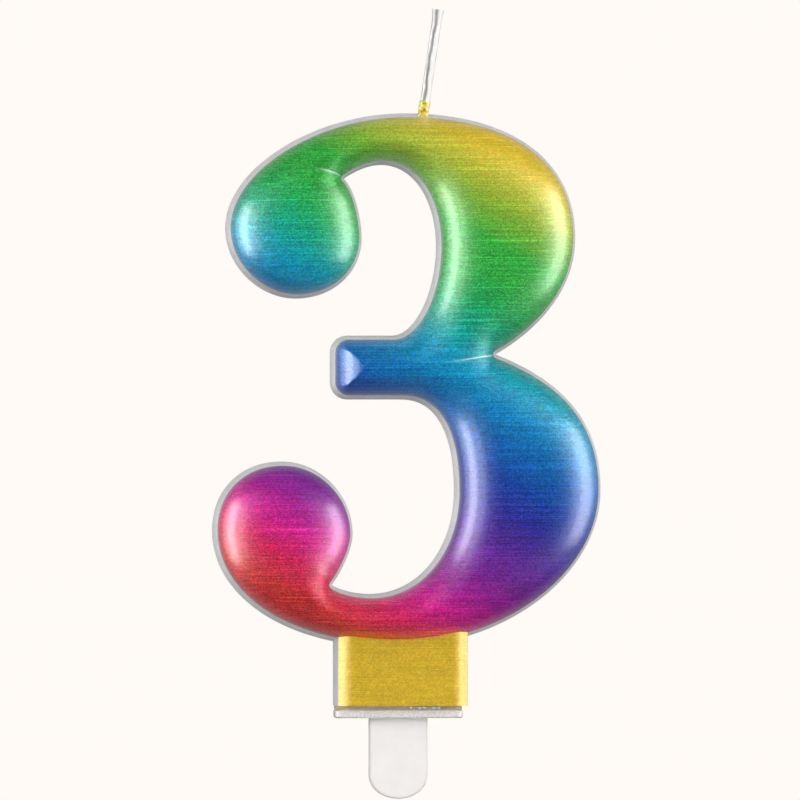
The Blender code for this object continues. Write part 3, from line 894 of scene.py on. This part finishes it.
def foil_grain(look, lines_share=1.0, chroma=0.75, glint=0.34):
    """Fine metallic flakes and thin horizontal brush lines as a tint to multiply a colour by, and their height."""
    place = look.stretched(1, 1, 1)
    tint = look.share_plus(look.cells(place, 7.0), chroma, 1.22 - chroma / 2)
    glitter = look.sparkle(place, 8.0)
    cloud = look.noise(place, 3.0, 2.0, 0.7)
    lines = look.noise(look.stretched(0.07, 1, 8.0), 1.0, 1.0, 0.5)
    scratches = look.noise(look.stretched(0.03, 0.4, 9.0), 1.0, 0.0, 0.5)
    shade = look.spread(glitter, 0.0, 1.0, 1 - glint, 1 + glint)
    shade = look.math("MULTIPLY", shade, look.spread(cloud, 0.3, 0.7, 0.94, 1.06))
    spread = 0.24 * lines_share
    shade = look.math("MULTIPLY", shade, look.spread(lines, 0.3, 0.7, 1 - spread, 1 + spread))
    shade = look.math("MULTIPLY", shade, look.spread(scratches, 0.64, 0.72, 1.0, 1.0 + 0.4 * lines_share))
    height = look.math("ADD", glitter, look.math("MULTIPLY", lines, 0.5))
    return look.scale_colour(tint, shade), height


def foil_look(name, weight, roughness):
    """A metallic base under a strong, soft coat of the given weight and roughness."""
    return Look(name, Metallic=0.42, Roughness=0.5, Specular_IOR_Level=0.0, Coat_Weight=weight,
                Coat_Roughness=roughness, Coat_IOR=2.5)


def rainbow_look():
    look = foil_look("rainbow_foil_look", 1.0, 0.27)
    dull_and_shade = look.attribute("dull_and_shade")
    split = look.node("SeparateXYZ", Vector=look.place)
    across = look.math("MULTIPLY", split.outputs["X"], -1000 * FADE_LEAN)
    fade = look.math("ADD", across, look.math("MULTIPLY", split.outputs["Z"], -1000))
    low, high = RAINBOW[0][0], RAINBOW[-1][0]
    stops = [((at - low) / (high - low), linear(*colour)) for at, colour in RAINBOW]
    colour = look.ramp(look.spread(fade, low, high, 0, 1), stops)
    tint, height = foil_grain(look)
    tint = look.mix(look.spread(fade, -80, -60, 0.35, 1.0), grey(1.12), tint)
    colour = look.share_plus(tint, 0.0025, look.times(colour, tint))
    edge = look.math("MULTIPLY", look.attribute("edge_distance"), 1000)
    thin = ((0.0, grey(0.30)), (0.1, grey(0.6)), (0.3, grey(0.88)), (0.8, grey(1.0)))
    cover = look.ramp(look.spread(edge, 0.0, 0.3, 0.0, 1.0), thin)
    # Painted shade: the colour darkens to 0.74 round each notch.
    colour = look.scale_colour(colour, look.spread(dull_and_shade, 0.0, 1.0, 1.0, 0.74))
    # Painted highlight: a thin pale cyan line mixed into the colour along each crease.
    colour = look.mix(look.math("MULTIPLY", look.attribute("crease"), 0.8), colour, linear(225, 250, 250))
    look.set("Base Color", look.mix(cover, linear(196, 199, 206), colour))
    look.set("Coat Weight", look.spread(dull_and_shade, 0.0, 1.0, 1.0, 0.3))
    look.bump(height, 0.3, 0.04 * MM, "Coat Normal")
    return look.material


def wax_look():
    look = Look("pearl_silver_wax_look", Metallic=0.15, Coat_Weight=0.5, Coat_Roughness=0.3)
    place = look.stretched(1, 1, 1)
    grain = look.noise(place, 5.0, 3.0, 0.6)
    mottle = look.noise(place, 0.35, 2.0, 0.5)
    flakes = look.sparkle(place, 7.0)
    shade = look.spread(grain, 0.3, 0.7, 0.92, 1.08)
    shade = look.math("MULTIPLY", shade, look.spread(mottle, 0.3, 0.7, 0.97, 1.03))
    shade = look.math("MULTIPLY", shade, look.spread(flakes, 0.0, 1.0, 0.90, 1.10))
    base = look.ramp(mottle, ((0.3, linear(208, 208, 209)), (0.7, linear(216, 215, 214))))
    look.set("Base Color", look.scale_colour(base, shade))
    look.set("Roughness", look.spread(grain, 0.3, 0.7, 0.38, 0.5))
    height = look.math("ADD", look.math("MULTIPLY", grain, 0.4), look.math("MULTIPLY", mottle, 3.0))
    look.bump(height, 0.3, 0.06 * MM)
    return look.material


def gold_look():
    look = foil_look("gold_foil_look", 0.75, 0.38)
    tint, height = foil_grain(look, 0.45, 0.12, 0.2)
    mottle = look.noise(look.stretched(1, 1, 1), 0.8, 2.0, 0.5)
    base = look.ramp(mottle, ((0.3, linear(205, 168, 30)), (0.7, linear(214, 179, 38))))
    look.set("Base Color", look.times(base, tint))
    look.bump(height, 0.16, 0.04 * MM, "Coat Normal")
    return look.material


def plate_look():
    look = Look("silvered_plate_look", Metallic=0.1, Roughness=0.35, Coat_Weight=0.8, Coat_Roughness=0.2)
    place = look.stretched(1, 1, 1)
    grain = look.noise(place, 5.0, 3.0, 0.7)
    flakes = look.sparkle(place, 6.0)
    shade = look.spread(grain, 0.3, 0.7, 0.86, 1.10)
    shade = look.math("MULTIPLY", shade, look.spread(flakes, 0.0, 1.0, 0.88, 1.10))
    base = look.ramp(grain, ((0.3, linear(216, 212, 207)), (0.7, linear(230, 226, 221))))
    look.set("Base Color", look.scale_colour(base, shade))
    look.bump(grain, 0.5, 0.08 * MM)
    return look.material


def pick_look():
    look = Look("milky_pick_look", IOR=1.2, Transmission_Weight=0.2)
    cloud = look.noise(look.stretched(1, 1, 1), 0.6, 3.0, 0.5)
    flow = look.noise(look.stretched(2.5, 1, 0.15), 1.0, 2.0, 0.5)
    look.set("Base Color", look.ramp(cloud, ((0.3, linear(229, 226, 225)), (0.7, linear(234, 231, 230)))))
    look.set("Roughness", look.spread(cloud, 0.3, 0.7, 0.28, 0.42))
    look.bump(look.math("ADD", flow, cloud), 0.2, 0.06 * MM)
    return look.material


def wick_look():
    look = Look("waxed_wick_look", Roughness=0.3, IOR=1.45, Transmission_Weight=0.25, Coat_Weight=0.6,
                Coat_Roughness=0.12)
    fibre = look.noise(look.stretched(7, 7, 0.7), 1.0, 3.0, 0.6)
    depth = look.math("ADD", look.attribute("groove"), look.spread(fibre, 0.35, 0.65, -0.15, 0.15))
    # Painted shade: the wick darkens to grey-brown at the bottom of each groove.
    colour = look.ramp(depth, ((0.0, linear(252, 252, 252)), (0.3, linear(246, 246, 246)),
                               (0.62, linear(172, 172, 172)), (1.0, linear(128, 124, 118))))
    look.set("Base Color", colour)
    look.bump(fibre, 0.5, 0.08 * MM)
    return look.material


def seal_look():
    look = Look("gold_wax_look", Metallic=0.3, Roughness=0.3, Coat_Weight=0.9, Coat_Roughness=0.12)
    lumps = look.noise(look.stretched(1, 1, 1), 2.4, 2.0, 0.5)
    colour = look.ramp(lumps, ((0.32, linear(168, 124, 24)), (0.43, linear(208, 184, 48)),
                               (0.56, linear(228, 214, 88)), (0.7, linear(240, 232, 170))))
    look.set("Base Color", colour)
    look.bump(lumps, 0.5, 0.15 * MM)
    return look.material


def glue_glint_look():
    look = Look("clear_glue_and_glint_look", Roughness=0.08, IOR=1.45, Transmission_Weight=0.3)
    cloud = look.noise(look.stretched(1, 1, 1), 4.0, 2.0, 0.5)
    # Near-white tones: the clear glue beads show as painted glints over the seam.
    look.set("Base Color", look.ramp(cloud, ((0.3, linear(240, 240, 238)), (0.7, linear(252, 252, 250)))))
    look.bump(cloud, 0.2, 0.05 * MM)
    return look.material


def seam_shade_film_look():
    look = Look("glue_film_seam_shade_look", Roughness=0.4)
    cloud = look.noise(look.stretched(1.2, 1, 4), 1.0, 3.0, 0.6)
    # Beige-brown tones: painted shade of the seam and a painted reflection of the gold above it.
    tones = ((0.3, linear(178, 154, 124)), (0.5, linear(188, 166, 138)), (0.7, linear(206, 188, 162)))
    look.set("Base Color", look.ramp(cloud, tones))
    look.bump(cloud, 0.4, 0.08 * MM)
    return look.material


# Studio

CREAM = (255, 250, 246)
WORLD_FRONT = 0.01  # the dark room behind the camera
WORLD_BACK = 0.28  # the pale wall behind the candle

# Soft lights: degrees round from the front and up, distance, width and height (m), radiance, seen in reflections
LIGHTS = (
    ("left_softbox", -93, 0, 0.42, 0.20, 0.46, 2.5, True),
    ("right_softbox", 86, 0, 0.42, 0.28, 0.46, 1.9, True),
    ("left_glow", -90, 0, 0.46, 0.68, 0.50, 1.0, True),
    ("right_glow", 84, 0, 0.46, 0.68, 0.50, 0.7, True),
    ("left_fill", -50, 12, 0.80, 0.55, 1.10, 4.35, False),
    ("right_fill", 50, 12, 0.80, 0.55, 1.10, 4.35, False),
    ("top_fill", 15, 78, 0.80, 0.50, 0.50, 1.6, False),
    ("floor_bounce", 0, -75, 0.80, 0.50, 0.50, 2.2, False),
    ("back_fill", 175, 20, 0.80, 0.45, 0.45, 6.0, False),
)
# The numeral casts no shadow of these on itself
UNBLOCKED = ("left_softbox", "right_softbox", "left_glow", "right_glow")
MIDDLE = Vector((0, 0, 40)) * MM  # what the lights face
FLOOR_RADIUS = 2.4
SURROUND_RADIUS = 2.5


def glow_look(name, see_through=False):
    """An even pale surface that shows as it is and lights nothing."""
    look = Look(name, Roughness=1.0, Base_Color=grey(0), Specular_IOR_Level=0.0, Emission_Strength=1.0)
    cloud = look.noise(look.stretched(0.004, 0.004, 0.004), 1.0, 2.0, 0.5)
    tone = look.ramp(cloud, ((0.3, linear(*CREAM)), (0.7, linear(254, 250, 246))))
    look.set("Emission Color", tone)
    if see_through:
        open_below(look)
    return look.material


def open_below(look):
    """Lets a surface be seen through from its underside."""
    either = look.node("MixShader", Fac=look.node("NewGeometry").outputs["Backfacing"])
    look.feed(either.inputs[1], look.shader.outputs[0])
    look.feed(either.inputs[2], look.node("BsdfTransparent").outputs[0])
    output = next(node for node in look.tree.nodes if node.type == "OUTPUT_MATERIAL")
    look.feed(output.inputs["Surface"], either.outputs[0])


def backdrop(name, bm, material):
    obj = new_solid(name, bm)
    obj.data.materials.append(material)
    obj.visible_diffuse = False
    obj.visible_glossy = False
    obj.visible_shadow = False
    return obj


def face_back(obj, target, back, distance):
    """Stands a light or camera off from its target along back, and turns it to face the target."""
    obj.location = target + back * distance
    obj.rotation_mode = "QUATERNION"
    obj.rotation_quaternion = (-back).to_track_quat("-Z", "Y")


def studio():
    """A pale floor at the pick's tip, an even pale surround, a tall soft light on each side and soft fills."""
    pale = glow_look("backdrop_look")
    bm = bmesh.new()
    bmesh.ops.create_circle(bm, cap_ends=True, segments=64, radius=FLOOR_RADIUS)
    floor = backdrop("floor", bm, glow_look("floor_look", see_through=True))
    floor.location = (0, 0, PICK_LOW.z - 0.1 * MM)
    bm = bmesh.new()
    bmesh.ops.create_uvsphere(bm, u_segments=64, v_segments=32, radius=SURROUND_RADIUS)
    backdrop("surround", bm, pale)

    world = bpy.data.worlds.new("studio")
    bpy.context.scene.world = world
    world.use_nodes = True
    tree = world.node_tree
    background = tree.nodes["Background"]
    background.inputs["Color"].default_value = (1.0, 1.0, 1.0, 1.0)
    place = tree.nodes.new("ShaderNodeTexCoord")
    split = tree.nodes.new("ShaderNodeSeparateXYZ")
    level = tree.nodes.new("ShaderNodeMapRange")
    level.interpolation_type = "SMOOTHSTEP"
    level.inputs["From Min"].default_value = 0.1
    level.inputs["From Max"].default_value = 0.8
    level.inputs["To Min"].default_value = WORLD_FRONT
    level.inputs["To Max"].default_value = WORLD_BACK
    tree.links.new(place.outputs["Generated"], split.inputs[0])
    tree.links.new(split.outputs["Y"], level.inputs["Value"])
    tree.links.new(level.outputs["Result"], background.inputs["Strength"])

    for name, azimuth, elevation, distance, width, height, radiance, reflected in LIGHTS:
        light = bpy.data.lights.new(name, "AREA")
        light.shape = "RECTANGLE"
        light.size = width
        light.size_y = height
        light.energy = radiance * math.pi * width * height
        obj = bpy.data.objects.new(name, light)
        around, up = math.radians(azimuth), math.radians(elevation)
        back = Vector((math.sin(around) * math.cos(up), -math.cos(around) * math.cos(up), math.sin(up)))
        face_back(obj, MIDDLE, back, distance)
        obj.visible_glossy = reflected
        obj.visible_diffuse = not reflected
        obj.visible_transmission = False
        bpy.context.scene.collection.objects.link(obj)


def unblock(foil, wax, blockers):
    """Lets only the given pieces cast shadows of the side lights, and keeps the numeral from mirroring itself."""
    foil.visible_glossy = wax.visible_glossy = False
    group = bpy.data.collections.new("side_light_blockers")
    for piece in blockers:
        group.objects.link(piece)
    for name in UNBLOCKED:
        bpy.data.objects[name].light_linking.blocker_collection = group


def camera():
    data = bpy.data.cameras.new("camera")
    data.sensor_width = SENSOR
    back = Vector((math.sin(VIEW_AZIMUTH), -math.cos(VIEW_AZIMUTH), 0))
    data.lens = SENSOR * (VIEW_DISTANCE + BACK_Y) / VIEW_WIDTH
    data.clip_start = 0.01
    data.clip_end = 20
    obj = bpy.data.objects.new("camera", data)
    face_back(obj, VIEW_TARGET, back, VIEW_DISTANCE)
    bpy.context.scene.collection.objects.link(obj)
    bpy.context.scene.camera = obj


def main():
    bpy.context.scene.view_settings.view_transform = "Standard"
    camera()
    studio()
    relief = Relief()
    foil = rainbow_foil(relief, rainbow_look())
    wax = wax_body(relief, wax_look())
    gold = gold_foil(gold_look())
    plate = foot_plate(plate_look())
    glue_beads(glue_glint_look())
    glue_film(seam_shade_film_look())
    pick(pick_look())
    wick(wick_look())
    wick_seal(seal_look())
    unblock(foil, wax, [gold, plate])


main()
